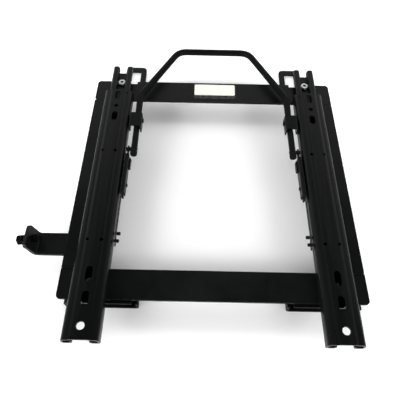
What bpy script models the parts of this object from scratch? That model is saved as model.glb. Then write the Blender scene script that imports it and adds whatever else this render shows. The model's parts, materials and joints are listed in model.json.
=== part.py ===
"""Seat slide: two ball-guided rails on a bolted-down floor frame.

+Y points to the front of the seat, +X to its right, +Z up.  The feet stand at z = 0.
Lengths are in metres and are written as millimetres times mm.
"""
import math

import bmesh
import bpy
from mathutils import Euler, Matrix, Vector

mm = 0.001

# Floor frame
rail_spacing = 290 * mm
frame_width = 369 * mm
frame_depth = 359 * mm
front_bar_width = 41 * mm
rear_bar_width = 38 * mm
side_plate_width = 48 * mm
bar_thickness = 3.5 * mm
bar_corner_radius = 5 * mm
plate_corner_radius = 1.5 * mm
foot_height = 18.5 * mm
seat_gap = 0.3 * mm

# Lower rails, which stay on the frame
lower_rail_length = 386 * mm
lower_rail_overhang = 21.5 * mm
floor_setback = 6 * mm
sheet = 2.2 * mm
channel_half_width = 6.0 * mm
notch_pitch = 10 * mm
notch_width = 5.5 * mm
notch_depth = 1.6 * mm
first_notch_from_rear = 115 * mm
notched_length = 250 * mm

# Upper rails, which carry the seat
upper_rail_length = 373.5 * mm
upper_rail_setback = 57.3 * mm
rail_height = 18 * mm
web_half_width = 8.5 * mm
web_step_run = 3.5 * mm
web_step_drop = 1.4 * mm
shoulder_drop = 1.7 * mm
web_bend = 4 * mm
shoulder_bend = 5.5 * mm
shoulder_inset = 0.2 * mm
curl_bend = 2.4 * mm
under_clearance = 1.1 * mm
hook_clearance = 1.4 * mm
lip_clearance = 1.5 * mm
race_gap = 3.3 * mm
hook_height = 5.4 * mm
hook_head_room = 2.0 * mm
wall_flare = 0.8 * mm

# Holes in the upper webs, measured from the rail's front or rear end
slot_width = 8.0 * mm
front_slot_length = 16.5 * mm
rear_slot_length = 18.5 * mm
front_slots = (12.4 * mm, 53.9 * mm)
rear_slots = (75.3 * mm, 45.5 * mm)
front_hole_from_end = 33.7 * mm
front_hole_radius = 3.2 * mm
seat_hole_from_end = 15 * mm
seat_hole_radius = 4.65 * mm
rivet_holes_from_front = 117.3 * mm
rivet_holes_from_rear = 119.3 * mm
rivet_hole_offset = 8.6 * mm
rivet_hole_radius = 1.6 * mm
shoulder_hole_radius = 1.5 * mm
shoulder_hole_offset = 13 * mm
shoulder_hole_from_front = 6 * mm

# Balls and their cages
ball_radius = 1.6 * mm
ball_clearance = 0.3 * mm
ball_pitch = 42 * mm
balls_in_a_row = 5
cage_thickness = 1.0 * mm
cage_end = 9 * mm
cage_clearance = 0.4 * mm
cage_foot = 1.1 * mm
ball_contact_angle = math.radians(40)

# Rivets that hold the lower rails
rivet_head_radius = 5.3 * mm
rivet_head_height = 4.6 * mm
rivet_head_edge = 1.0 * mm
rivet_tail_radius = 4.2 * mm
rivet_tail_height = 1.2 * mm
rivet_shank_radius = 2.9 * mm
rivet_socket_radius = 2.9 * mm
rivet_socket_depth = 3.2 * mm
rivet_hole_clearance = 0.3 * mm
front_rivet_from_edge = 8 * mm

# Feet
foot_sheet = 3.2 * mm
foot_bend = 4 * mm
front_foot_centre = 129.5 * mm
front_foot_width = 34 * mm
front_foot_flange_extra = 7 * mm
front_foot_reach = 54 * mm
front_foot_lap = 30 * mm
front_foot_step = 7 * mm
front_foot_ahead = 1 * mm
front_foot_blend = 2 * mm
front_foot_corner = 7 * mm
foot_slot_width = 16 * mm
foot_slot_length = 47 * mm
bar_notch_depth = 5.2 * mm
foot_slot_from_tip = 10 * mm
foot_slot_corner = 2 * mm
rear_foot_inner = 88 * mm
rear_foot_width = 88 * mm
rear_foot_lip = 3.5 * mm
rear_foot_seam = 4.5 * mm
rear_foot_hole_radius = 4.6 * mm
rear_foot_hole_from_side = 19 * mm

# Side arm
arm_width = 30 * mm
arm_sheet = 4.5 * mm
arm_centre_from_rear = 72 * mm
arm_lap = 32 * mm
arm_reach = 38 * mm
arm_tab_height = 25.4 * mm
arm_lean = math.radians(14)
arm_bend = 5 * mm
arm_corner = 4 * mm
arm_bolt_radius = 3.0 * mm
arm_bolt_head_radius = 5.9 * mm
arm_bolt_head_height = 9 * mm
arm_bolt_collar_radius = 4.2 * mm
arm_bolt_collar = 6 * mm
arm_bolt_from_bend = 12 * mm
arm_nut_height = 6 * mm
arm_nut_radius = 5.2 * mm
arm_bolt_tail = 3.5 * mm

# Towel-bar handle
handle_radius = 4.5 * mm
leg_near_clearance = 4.7 * mm
leg_far_clearance = 0.5 * mm
handle_top_width = 114.4 * mm
handle_height = 11 * mm
handle_bend_ahead = 50 * mm
handle_rise_ahead = 152.5 * mm
handle_leg_behind = 56 * mm
handle_leg_bend = 30 * mm
handle_top_bend = 20 * mm
cap_length = 7 * mm
cap_wall = 0.5 * mm
cap_edge = 1 * mm

# Handle saddles, pins and lock mechanism on the inner wall of each upper rail
saddle_from_front = 57 * mm
saddle_ahead = 9.7 * mm
saddle_behind = 15.5 * mm
saddle_tail = 2 * mm
saddle_sheet = 2.0 * mm
saddle_head_room = 1.5 * mm
saddle_skirt = 13 * mm
pin_radius = 1.8 * mm
pin_head_radius = 3.4 * mm
pin_head_height = 1.5 * mm
pin_clearance = 0.3 * mm
pin_seat = 0.1 * mm
link_pin_behind = 53 * mm
link_pin_radius = 3 * mm
housing_sheet = 1.6 * mm
housing_width = 5.9 * mm
housing_length = 65 * mm
housing_front_behind = 64 * mm
housing_chamfer = 4 * mm
housing_drop = 16.2 * mm
housing_height = 13.2 * mm
housing_notch_play = 1 * mm
lever_thickness = 2.0 * mm
lever_bottom = 3.5 * mm
lever_height = 6 * mm
lever_head_bottom = 5.5 * mm
lever_fork_height = 2.8 * mm
lever_pivot_behind = 111 * mm
lever_pivot_radius = 1.7 * mm
rivet_button = 1.1 * mm
lever_tail = 20 * mm
lever_head = 7 * mm
lever_corner = 1.1 * mm
fork_clearance = 0.6 * mm
finger_length = 16 * mm
finger_behind = 76 * mm
finger_reach = 4.4 * mm
finger_sheet = 2.1 * mm
finger_height = 6 * mm
tooth_width = 4.5 * mm
tooth_height = 2.2 * mm
tooth_from_top = 0.3 * mm
tooth_bite = 0.4 * mm
tooth_count = 3
tooth_first_behind = 75 * mm
tooth_travel = 2.8 * mm
wire_radius = 1.0 * mm
wire_reach = 61 * mm
wire_rise = 1.5 * mm
peg_radius = 2.2 * mm
peg_length = 6.6 * mm
peg_edge = 0.6 * mm
first_peg_behind = 184 * mm
peg_pitch = 12 * mm
second_peg_rise = 3.7 * mm
wire_slack = 0.2 * mm
wire_kink_behind = 3.0 * mm
wire_kink_ahead = 2.5 * mm
wire_kink_bend = 2.5 * mm
wire_end = 5.5 * mm

# Blank label on the front bar
label_width = 65.7 * mm
label_depth = 24.7 * mm
label_thickness = 0.3 * mm
label_offset = 2.5 * mm
label_from_front = 15.6 * mm
label_corner = 1.5 * mm

# Stock that is drawn beyond an edge and then trimmed off
trim = 1 * mm

# Steps that keep joined shapes from sharing a plane
sliver = 0.2 * mm

# Size of the markers on the joint axes
marker_size = 15 * mm

# Facets
arc_step = math.radians(18)
hole_sides = 20
pin_sides = 12
ball_segments = 8
ball_rings = 4
handle_sides_setting = 5

# Places that follow from the sizes above
bar_top = foot_height + bar_thickness
frame_front = frame_depth / 2 + 4 * mm
frame_rear = frame_front - frame_depth
half_spacing = rail_spacing / 2
lower_front = frame_front + lower_rail_overhang
lower_rear = lower_front - lower_rail_length
upper_front = lower_front - upper_rail_setback
upper_rear = upper_front - upper_rail_length

# Rail section, u across from the rail's middle line and z up
floor_z = bar_top + seat_gap + sheet / 2
web_z = bar_top + rail_height - sheet / 2
lower_wall_u = channel_half_width + sheet / 2
hook_u = lower_wall_u + sheet + hook_clearance
lip_u = hook_u + sheet + lip_clearance
side_u = lip_u + sheet + race_gap
bottom_z = bar_top + under_clearance + sheet / 2
low_ball_z = bottom_z + sheet / 2 + ball_clearance + ball_radius
lip_end_z = low_ball_z + ball_radius + ball_clearance + sliver
hook_end_z = bottom_z + hook_height
lower_top_z = hook_end_z + hook_head_room + sheet / 2
wall_face_u = side_u + wall_flare + sheet / 2

# Lock mechanism, u again measured from the rail's middle line
handle_z = bar_top + handle_height
handle_pivot_y = upper_front - saddle_from_front
saddle_u = wall_face_u + seat_gap
leg_u = saddle_u + saddle_sheet + leg_near_clearance + handle_radius
saddle_width = 2 * (saddle_sheet + handle_radius) + leg_near_clearance + leg_far_clearance
handle_leg_spacing = 2 * (half_spacing - leg_u)
link_pin_y = handle_pivot_y - link_pin_behind
leg_end_y = handle_pivot_y - handle_leg_behind
lever_pivot_y = handle_pivot_y - lever_pivot_behind
lever_z = bar_top + lever_bottom
lever_top_z = lever_z + lever_height
lever_pivot_z = lever_z + lever_height / 2
lever_u = saddle_u + housing_sheet + seat_gap + lever_thickness / 2
wire_z = lever_top_z + seat_gap + wire_radius
wire_u = lever_u - lever_thickness / 2 - 0.3 * wire_radius
first_peg_y = handle_pivot_y - first_peg_behind
first_peg_z = wire_z - wire_radius - seat_gap - peg_radius
second_peg_y = first_peg_y - peg_pitch
second_peg_z = first_peg_z + second_peg_rise
housing_front_y = handle_pivot_y - housing_front_behind
housing_rear_y = housing_front_y - housing_length
housing_top_z = bar_top + housing_drop

BLACK_PAINT = ((0.022, 0.022, 0.024), 0.42, 0.0)
ZINC = ((0.62, 0.63, 0.64), 0.35, 1.0)
DARK_STEEL = ((0.05, 0.05, 0.055), 0.4, 0.8)
SPRING_STEEL = ((0.09, 0.09, 0.1), 0.35, 0.9)
CAGE_PLASTIC = ((0.55, 0.53, 0.48), 0.5, 0.0)
CAP_PLASTIC = ((0.015, 0.015, 0.016), 0.55, 0.0)
LABEL_PAPER = ((0.78, 0.78, 0.75), 0.5, 0.0)

SIDES = (("left", -1), ("right", 1))


# Scene, collections and materials

def clear_scene():
    """Remove every object of the open file."""
    for obj in list(bpy.data.objects):
        bpy.data.objects.remove(obj, do_unlink=True)


def new_collection(name):
    """Return a new collection linked to the scene."""
    collection = bpy.data.collections.new(name)
    bpy.context.scene.collection.children.link(collection)
    return collection


def finish_material(name, finish):
    """Return a Principled material for one sub-part."""
    colour, roughness, metallic = finish
    material = bpy.data.materials.new(name + "_finish")
    material.use_nodes = True
    shader = material.node_tree.nodes["Principled BSDF"]
    shader.inputs["Base Color"].default_value = (*colour, 1.0)
    shader.inputs["Roughness"].default_value = roughness
    shader.inputs["Metallic"].default_value = metallic
    material.diffuse_color = (*colour, 1.0)
    return material


clear_scene()
parts = new_collection("seat_slide_rail")
cutters = new_collection("cutters")


def new_empty(name, location, parent=None):
    """Return an empty that marks a joint axis or a side of the frame."""
    empty = bpy.data.objects.new(name, None)
    empty.empty_display_size = marker_size
    empty.location = location
    empty.parent = parent
    parts.objects.link(empty)
    return empty


def add_part(name, mesh, finish, parent, location=(0, 0, 0), rotation=(0, 0, 0)):
    """Put a mesh into the parts collection as a named sub-part."""
    obj = bpy.data.objects.new(name, mesh)
    mesh.materials.append(finish_material(name, finish))
    mesh.shade_smooth()
    mesh.set_sharp_from_angle(angle=math.radians(32))
    obj.location = location
    obj.rotation_euler = rotation
    obj.parent = parent
    parts.objects.link(obj)
    return obj


def add_cutter(name, mesh, parent, location=(0, 0, 0), rotation=(0, 0, 0)):
    """Put a mesh into the cutters collection, out of the render."""
    obj = bpy.data.objects.new(name, mesh)
    obj.location = location
    obj.rotation_euler = rotation
    obj.parent = parent
    obj.hide_render = True
    obj.display_type = "WIRE"
    cutters.objects.link(obj)
    return obj


def combine(obj, other, operation="DIFFERENCE"):
    """Add an exact Boolean between a sub-part and a cutter."""
    modifier = obj.modifiers.new(operation.lower(), "BOOLEAN")
    modifier.operation = operation
    modifier.solver = "EXACT"
    modifier.object = other
    return obj


# Shapes

def round_corners(points, radii, closed=False):
    """Replace the corners of a polyline by arcs; radii is one value or one per point."""
    count = len(points)
    if not isinstance(radii, (list, tuple)):
        radii = [radii] * count
    rounded = []
    for index, point in enumerate(points):
        corner = Vector(point)
        at_end = not closed and index in (0, count - 1)
        if at_end or radii[index] <= 0:
            rounded.append(corner)
            continue
        to_last = (Vector(points[index - 1]) - corner).normalized()
        to_next = (Vector(points[(index + 1) % count]) - corner).normalized()
        half_angle = to_last.angle(to_next) / 2
        middle = (to_last + to_next).normalized()
        centre = corner + middle * (radii[index] / math.sin(half_angle))
        first = corner + to_last * (radii[index] / math.tan(half_angle)) - centre
        last = corner + to_next * (radii[index] / math.tan(half_angle)) - centre
        turn = math.pi - 2 * half_angle
        steps = max(2, round(turn / arc_step))
        for step in range(steps + 1):
            rounded.append(centre + first.slerp(last, step / steps) * radii[index])
    return rounded


def rectangle(low_x, high_x, low_y, high_y, radius=0.0):
    """Return the outline of a rectangle with round corners."""
    corners = [(low_x, low_y), (high_x, low_y), (high_x, high_y), (low_x, high_y)]
    return round_corners(corners, radius, closed=True)


def circle(x, y, radius, sides=hole_sides):
    """Return the outline of a circle."""
    angles = [2 * math.pi * (i + 0.5) / sides for i in range(sides)]
    return [Vector((x + radius * math.cos(angle), y + radius * math.sin(angle))) for angle in angles]


def long_hole(x, y, width, length):
    """Return the outline of a slot that runs along the second axis."""
    radius = width / 2
    reach = length / 2 - radius
    ends = ((y - reach, math.pi), (y + reach, 0.0))
    half = hole_sides // 2
    outline = []
    for centre_y, start in ends:
        for i in range(half + 1):
            angle = start + math.pi * i / half
            outline.append(Vector((x + radius * math.cos(angle), centre_y + radius * math.sin(angle))))
    return outline


def filled_mesh(name, outlines, thickness):
    """Return a closed mesh: flat outlines, the inner ones as holes, given a thickness about z = 0."""
    curve = bpy.data.curves.new(name, "CURVE")
    curve.dimensions = "2D"
    curve.fill_mode = "BOTH"
    curve.extrude = thickness / 2
    for outline in outlines:
        spline = curve.splines.new("POLY")
        spline.points.add(len(outline) - 1)
        for point, place in zip(spline.points, outline):
            point.co = (place[0], place[1], 0.0, 1.0)
        spline.use_cyclic_u = True
    return mesh_from_curve(name, curve)


def mesh_from_curve(name, curve, location=(0, 0, 0), rotation=(0, 0, 0)):
    """Return a closed mesh of a curve, with its caps welded and its faces pointing out."""
    holder = bpy.data.objects.new(name + "_curve", curve)
    holder.location = location
    holder.rotation_euler = rotation
    parts.objects.link(holder)
    graph = bpy.context.evaluated_depsgraph_get()
    mesh = bpy.data.meshes.new_from_object(holder.evaluated_get(graph))
    mesh.name = name
    mesh.transform(holder.matrix_world)
    bpy.data.objects.remove(holder)
    bm = bmesh.new()
    bm.from_mesh(mesh)
    bmesh.ops.remove_doubles(bm, verts=bm.verts, dist=0.00001)
    bmesh.ops.recalc_face_normals(bm, faces=bm.faces)
    bm.to_mesh(mesh)
    bm.free()
    return mesh


ON_EDGE = (math.radians(90), 0, math.radians(90))


def plate(name, outlines, bottom, thickness, finish, parent):
    """Return a flat plate that lies level, its underside at a given height."""
    mesh = filled_mesh(name, outlines, thickness)
    return add_part(name, mesh, finish, parent, (0, 0, bottom + thickness / 2))


def level_cutter(name, outlines, low, high, parent, x=0.0):
    """Return a cutter that stands on outlines in the level plane."""
    mesh = filled_mesh(name, outlines, high - low)
    return add_cutter(name, mesh, parent, (x, 0, (low + high) / 2))


def upright_cutter(name, outlines, low_x, high_x, parent):
    """Return a cutter whose outlines lie in the y-z plane and that runs along x."""
    mesh = filled_mesh(name, outlines, abs(high_x - low_x))
    return add_cutter(name, mesh, parent, ((low_x + high_x) / 2, 0, 0), ON_EDGE)


def bent_sheet(name, profile, start, end, thickness, finish, parent, along="Y"):
    """Return a folded sheet: an open profile drawn along an axis and thickened both ways."""
    bm = bmesh.new()
    if along == "Y":
        verts = [bm.verts.new((a, start, b)) for a, b in profile]
        step = Vector((0, end - start, 0))
    else:
        verts = [bm.verts.new((start, a, b)) for a, b in profile]
        step = Vector((end - start, 0, 0))
    edges = [bm.edges.new(pair) for pair in zip(verts, verts[1:])]
    drawn = bmesh.ops.extrude_edge_only(bm, edges=edges)["geom"]
    moved = [item for item in drawn if isinstance(item, bmesh.types.BMVert)]
    bmesh.ops.translate(bm, verts=moved, vec=step)
    mesh = bpy.data.meshes.new(name)
    bm.to_mesh(mesh)
    bm.free()
    obj = add_part(name, mesh, finish, parent)
    wall = obj.modifiers.new("wall", "SOLIDIFY")
    wall.thickness = thickness
    wall.offset = 0.0
    wall.use_even_offset = True
    wall.use_quality_normals = True
    return obj


def turned_mesh(name, profile, sides=pin_sides):
    """Return a solid turned about z from (radius, height) points that start and end on the axis."""
    bm = bmesh.new()
    verts = [bm.verts.new((radius, 0, height)) for radius, height in profile]
    edges = [bm.edges.new(pair) for pair in zip(verts, verts[1:])]
    bmesh.ops.spin(bm, geom=verts + edges, cent=(0, 0, 0), axis=(0, 0, 1), angle=2 * math.pi, steps=sides,
                   use_merge=True)
    bmesh.ops.remove_doubles(bm, verts=bm.verts, dist=0.00001)
    bmesh.ops.recalc_face_normals(bm, faces=bm.faces)
    mesh = bpy.data.meshes.new(name)
    bm.to_mesh(mesh)
    bm.free()
    return mesh


def cylinder_mesh(name, radius, length, sides=pin_sides):
    """Return a cylinder about z, centred on its middle and turned by half a facet."""
    half_facet = Matrix.Rotation(math.pi / sides, 4, "Z")
    bm = bmesh.new()
    bmesh.ops.create_cone(bm, cap_ends=True, segments=sides, radius1=radius, radius2=radius, depth=length,
                          matrix=half_facet)
    mesh = bpy.data.meshes.new(name)
    bm.to_mesh(mesh)
    bm.free()
    return mesh


def lift(height):
    """Return a matrix that moves a mesh along its own z axis."""
    return Matrix.Translation((0, 0, height))


def across(side):
    """Return the turn that lays the z axis of a pin along x, pointing to the frame's middle."""
    return (0, math.radians(90) * -side, 0)


# Floor frame

def cross_bar(name, rear, front, parent):
    """Return one flat cross bar with its rivet holes."""
    outline = rectangle(-frame_width / 2, frame_width / 2, rear, front, bar_corner_radius)
    return plate(name, [outline], foot_height, bar_thickness, BLACK_PAINT, parent)


def side_plate(name, side, parent):
    """Return the flat plate under one rail, between the two bars."""
    outer = side * frame_width / 2
    inner = outer - side * side_plate_width
    rear = frame_rear + rear_bar_width + seat_gap
    front = frame_front - front_bar_width - seat_gap
    outline = rectangle(min(outer, inner), max(outer, inner), rear, front, plate_corner_radius)
    return plate(name, [outline], foot_height, bar_thickness, BLACK_PAINT, parent)


def rivet_places():
    """Return the y places of the front and rear rivet of a lower rail."""
    return (("front", frame_front - front_rivet_from_edge), ("rear", frame_rear + rear_bar_width / 2))


def rail_rivet(name, x, y, stack_bottom, parent):
    """Return one rivet: a socketed head on the rail floor, a shank and a closing head."""
    top = floor_z + sheet / 2 + seat_gap
    low = stack_bottom - seat_gap
    crown = top + rivet_head_height
    edge = rivet_head_edge
    profile = [
        (0, crown - rivet_socket_depth), (rivet_socket_radius, crown - rivet_socket_depth),
        (rivet_socket_radius, crown), (rivet_head_radius - edge, crown), (rivet_head_radius, crown - edge),
        (rivet_head_radius, top + edge), (rivet_head_radius - edge, top), (rivet_shank_radius, top),
        (rivet_shank_radius, low), (rivet_tail_radius, low), (rivet_tail_radius, low - rivet_tail_height / 2),
        (rivet_tail_radius - rivet_tail_height / 2, low - rivet_tail_height), (0, low - rivet_tail_height),
    ]
    return add_part(name, turned_mesh(name, profile), ZINC, parent, (x, y, 0))


def rivet_cutter(name, low, high, parent):
    """Return the four rivet shank holes through the bars, or through what lies under them."""
    radius = rivet_shank_radius + rivet_hole_clearance
    holes = [circle(side * half_spacing, y, radius) for _, side in SIDES for _, y in rivet_places()]
    return level_cutter(name, holes, low, high, parent)


def front_foot(name, side, parent):
    """Return a stepped strap: flange under the front bar, step down, slotted floor tab."""
    lap_z = foot_height - seat_gap - foot_sheet / 2
    tab_z = foot_sheet / 2
    tip = frame_front + front_foot_reach
    rear = frame_front - front_foot_lap
    step = frame_front + front_foot_ahead
    profile = [(rear - trim, lap_z), (step, lap_z), (step + front_foot_step, tab_z), (tip + trim, tab_z)]
    centre = side * front_foot_centre
    inner = centre - side * front_foot_width / 2
    outer = centre + side * front_foot_width / 2
    flange = outer + side * front_foot_flange_extra
    stock = sorted((inner - side * trim, flange + side * trim))
    foot = bent_sheet(name, round_corners(profile, foot_bend), *stock, foot_sheet, BLACK_PAINT, parent, along="X")
    outline = [(inner, rear), (flange, rear), (flange, step), (outer, step + 2 * front_foot_step), (outer, tip),
               (inner, tip)]
    blend, corner = front_foot_blend, front_foot_corner
    plan = round_corners(outline, [0, 0, blend, blend, corner, corner], closed=True)
    combine(foot, level_cutter(name + "_plan", [plan], -trim, foot_height, parent), "INTERSECT")
    slot_y = tip - foot_slot_from_tip - foot_slot_length / 2
    slot = rectangle(centre - foot_slot_width / 2, centre + foot_slot_width / 2,
                     slot_y - foot_slot_length / 2, slot_y + foot_slot_length / 2, foot_slot_corner)
    combine(foot, level_cutter(name + "_slot", [slot], -2 * trim, foot_height, parent))
    return foot


def rear_foot(name, side, parent):
    """Return a strip folded into an open-ended box under the rear bar, its seam near the inner wall."""
    inner = side * rear_foot_inner
    outer = inner + side * rear_foot_width
    half = foot_sheet / 2
    top_z = foot_height - seat_gap - half
    wall = inner + side * half
    far_wall = outer - side * half
    profile = [(wall, top_z), (wall, half), (far_wall, half), (far_wall, top_z),
               (inner + side * (foot_sheet + rear_foot_seam), top_z)]
    rear = frame_rear - rear_foot_lip
    front = frame_rear + rear_bar_width
    foot = bent_sheet(name, round_corners(profile, foot_bend * 0.9), rear, front, foot_sheet, BLACK_PAINT, parent)
    hole = circle(inner + side * rear_foot_hole_from_side, (rear + front) / 2, rear_foot_hole_radius)
    cutter = level_cutter(name + "_hole", [hole], -trim, foot_height / 2, parent)
    return combine(foot, cutter)


def side_arm(name, parent):
    """Return the strap under the left side plate with its upturned, leaning tab."""
    base = arm_tab_base()
    up, _ = arm_tab_directions()
    lap_x = -frame_width / 2 + arm_lap
    top = base + up * (arm_tab_height + trim)
    profile = round_corners([(lap_x, base.z), (base.x, base.z), (top.x, top.z)], arm_bend)
    low, high = base.y - arm_width / 2, base.y + arm_width / 2
    arm = bent_sheet(name, profile, low - trim, high + trim, arm_sheet, BLACK_PAINT, parent)
    half = arm_width / 2
    ear = [(-half, -arm_tab_height), (half, -arm_tab_height), (half, arm_tab_height), (-half, arm_tab_height)]
    keep = round_corners(ear, [0, 0, arm_corner, arm_corner], closed=True)
    reach = arm_lap + arm_reach + arm_tab_height
    mesh = filled_mesh(name + "_ear", [keep], 2 * reach)
    combine(arm, add_cutter(name + "_ear", mesh, parent, base, arm_tab_turn()), "INTERSECT")
    hole = cylinder_mesh(name + "_hole", arm_bolt_radius + pin_clearance, 4 * arm_sheet, hole_sides)
    return combine(arm, add_cutter(name + "_hole", hole, parent, arm_bolt_place(), arm_bolt_turn()))


def arm_tab_base():
    """Return the middle of the tab's bend line."""
    return Vector((-frame_width / 2 - arm_reach, frame_rear + arm_centre_from_rear,
                   foot_height - seat_gap - arm_sheet / 2))


def arm_tab_directions():
    """Return the tab's upward and outward directions."""
    up = Vector((-math.sin(arm_lean), 0, math.cos(arm_lean)))
    out = Vector((-math.cos(arm_lean), 0, -math.sin(arm_lean)))
    return up, out


def arm_tab_turn():
    """Return the turn of a flat outline that stands in the leaning tab."""
    lean = Matrix.Rotation(-arm_lean, 3, "Y") @ Euler(ON_EDGE).to_matrix()
    return lean.to_euler()


def arm_bolt_place():
    """Return the middle of the bolt hole in the tab."""
    up, _ = arm_tab_directions()
    return arm_tab_base() + up * (arm_bolt_from_bend + arm_bend / 2)


def arm_bolt_turn():
    """Return the turn that lays a turned part's z axis along the bolt, head outwards."""
    _, out = arm_tab_directions()
    return out.to_track_quat("Z", "Y").to_euler()


def arm_bolt(name, parent):
    """Return the hexagon bolt through the arm's tab, with its plain collar under the head."""
    face = arm_sheet / 2 + seat_gap
    tail = -(face + arm_nut_height + seat_gap + arm_bolt_tail)
    collar = face + arm_bolt_collar
    profile = [(0, tail), (arm_bolt_radius, tail), (arm_bolt_radius, face), (arm_bolt_collar_radius, face),
               (arm_bolt_collar_radius, collar + trim), (0, collar + trim)]
    bolt = add_part(name, turned_mesh(name, profile), DARK_STEEL, parent, arm_bolt_place(), arm_bolt_turn())
    head = cylinder_mesh(name + "_head", arm_bolt_head_radius, arm_bolt_head_height, 6)
    head.transform(lift(collar + arm_bolt_head_height / 2))
    return combine(bolt, add_cutter(name + "_head", head, parent, arm_bolt_place(), arm_bolt_turn()), "UNION")


def arm_nut(name, parent):
    """Return the hexagon nut on the inner side of the tab."""
    _, out = arm_tab_directions()
    bore = circle(0, 0, arm_bolt_radius + pin_clearance, pin_sides)
    mesh = filled_mesh(name, [circle(0, 0, arm_nut_radius, 6), bore], arm_nut_height)
    middle = arm_bolt_place() - out * (arm_sheet / 2 + seat_gap + arm_nut_height / 2)
    return add_part(name, mesh, DARK_STEEL, parent, middle, arm_bolt_turn())


def blank_label(name, parent):
    """Return the thin blank label on the front bar."""
    middle = frame_front - label_from_front
    outline = rectangle(label_offset - label_width / 2, label_offset + label_width / 2,
                        middle - label_depth / 2, middle + label_depth / 2, label_corner)
    return plate(name, [outline], bar_top + seat_gap, label_thickness, LABEL_PAPER, parent)


def build_frame(root):
    """Build the floor frame with its feet, side arm and label."""
    front = cross_bar("front_cross_bar", frame_front - front_bar_width, frame_front, root)
    rear = cross_bar("rear_cross_bar", frame_rear, frame_rear + rear_bar_width, root)
    combine(front, rivet_cutter("front_bar_rivet_holes", foot_height - trim, bar_top + trim, root))
    combine(rear, rivet_cutter("rear_bar_rivet_holes", foot_height - trim, bar_top + trim, root))
    notches = [rectangle(side * front_foot_centre - foot_slot_width / 2, side * front_foot_centre + foot_slot_width / 2,
                         frame_front - bar_notch_depth, frame_front + trim) for _, side in SIDES]
    combine(front, level_cutter("front_bar_notches", notches, foot_height - trim, bar_top + trim, root))
    for word, side in SIDES:
        side_plate(word + "_side_plate", side, root)
        fore = front_foot(word + "_front_foot", side, root)
        aft = rear_foot(word + "_rear_foot", side, root)
        low = foot_height - foot_sheet - trim
        combine(fore, rivet_cutter(word + "_front_foot_rivet_hole", low, foot_height, root))
        combine(aft, rivet_cutter(word + "_rear_foot_rivet_hole", low, foot_height, root))
    side_arm("side_arm", root)
    arm_bolt("side_arm_bolt", root)
    arm_nut("side_arm_nut", root)
    blank_label("blank_label", root)


# Rails

def lower_profile():
    """Return the lower rail's section: floor, two walls and two lips curled outwards."""
    half = [(0, floor_z), (lower_wall_u, floor_z), (lower_wall_u, lower_top_z), (lip_u, lower_top_z),
            (lip_u, lip_end_z)]
    return both_halves(round_corners(half, curl_bend))


def upper_profile():
    """Return the upper rail's section: raised web, shoulders, side walls and edges hooked inwards."""
    half = [(0, web_z), (web_half_width, web_z), (web_half_width + web_step_run, web_z - web_step_drop),
            (side_u - shoulder_inset, web_z - shoulder_drop), (side_u + wall_flare, bottom_z), (hook_u, bottom_z),
            (hook_u, hook_end_z)]
    radii = [0, web_bend, web_bend, shoulder_bend, curl_bend, curl_bend, 0]
    return both_halves(round_corners(half, radii))


def both_halves(half):
    """Return a full section from its right half, whose first point lies on the middle line."""
    right = half[1:]
    return [Vector((-u, z)) for u, z in reversed(right)] + right


def notch_outlines():
    """Return the lock notches along the lower rail as outlines in the y-z plane."""
    first = lower_rear + first_notch_from_rear
    count = round(notched_length / notch_pitch)
    low, high = lip_end_z - trim, lip_end_z + notch_depth
    return [rectangle(first + i * notch_pitch - notch_width / 2, first + i * notch_pitch + notch_width / 2, low, high)
            for i in range(count)]


def lower_rail(name, side, parent):
    """Return one lower rail with its cut-back floor, rivet holes and lock notches."""
    rail = bent_sheet(name, lower_profile(), lower_rear, lower_front, sheet, BLACK_PAINT, parent)
    reach = lower_wall_u + sheet / 2 + sliver
    front = rectangle(-reach, reach, lower_front - floor_setback, lower_front + trim)
    low = bar_top - trim
    combine(rail, level_cutter(name + "_setback", [front], low, floor_z + curl_bend, parent))
    radius = rivet_shank_radius + rivet_hole_clearance
    holes = [circle(0, y, radius) for _, y in rivet_places()]
    combine(rail, level_cutter(name + "_rivet_holes", holes, low, floor_z + sheet, parent))
    lip_in = -side * (lip_u - sheet)
    lip_out = -side * (lip_u + sheet)
    combine(rail, upright_cutter(name + "_notches", notch_outlines(), lip_in, lip_out, parent))
    return rail


def upper_rail(name, side, parent):
    """Return one upper rail with its seat slots and holes and the lock windows in its inner wall."""
    rail = bent_sheet(name, upper_profile(), upper_rear, upper_front, sheet, BLACK_PAINT, parent)
    holes = [long_hole(0, upper_front - y, slot_width, front_slot_length) for y in front_slots]
    holes += [long_hole(0, upper_rear + y, slot_width, rear_slot_length) for y in rear_slots]
    holes.append(circle(0, upper_front - front_hole_from_end, front_hole_radius))
    holes.append(circle(0, upper_rear + seat_hole_from_end, seat_hole_radius))
    for y in (upper_front - rivet_holes_from_front, upper_rear + rivet_holes_from_rear):
        holes += [circle(x, y, rivet_hole_radius, pin_sides) for x in (-rivet_hole_offset, rivet_hole_offset)]
    holes.append(circle(-side * shoulder_hole_offset, upper_front - shoulder_hole_from_front, shoulder_hole_radius,
                        pin_sides))
    low = web_z - shoulder_drop - sheet
    combine(rail, level_cutter(name + "_holes", holes, low, web_z + 2 * sheet, parent))
    wall_in = -side * (side_u - sheet)
    wall_out = -side * (wall_face_u + sheet)
    windows = [rectangle(y - tooth_width / 2 - pin_clearance, y + tooth_width / 2 + pin_clearance,
                         tooth_z() - tooth_travel, tooth_z() + tooth_height + pin_clearance) for y in tooth_places()]
    combine(rail, upright_cutter(name + "_windows", windows, wall_in, wall_out, parent))
    return rail


def tooth_z():
    """Return the underside of the lock teeth."""
    return lever_top_z - tooth_from_top - tooth_height


def tooth_places():
    """Return the middle of each lock tooth along y."""
    return [handle_pivot_y - tooth_first_behind - i * notch_pitch for i in range(tooth_count)]


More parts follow.
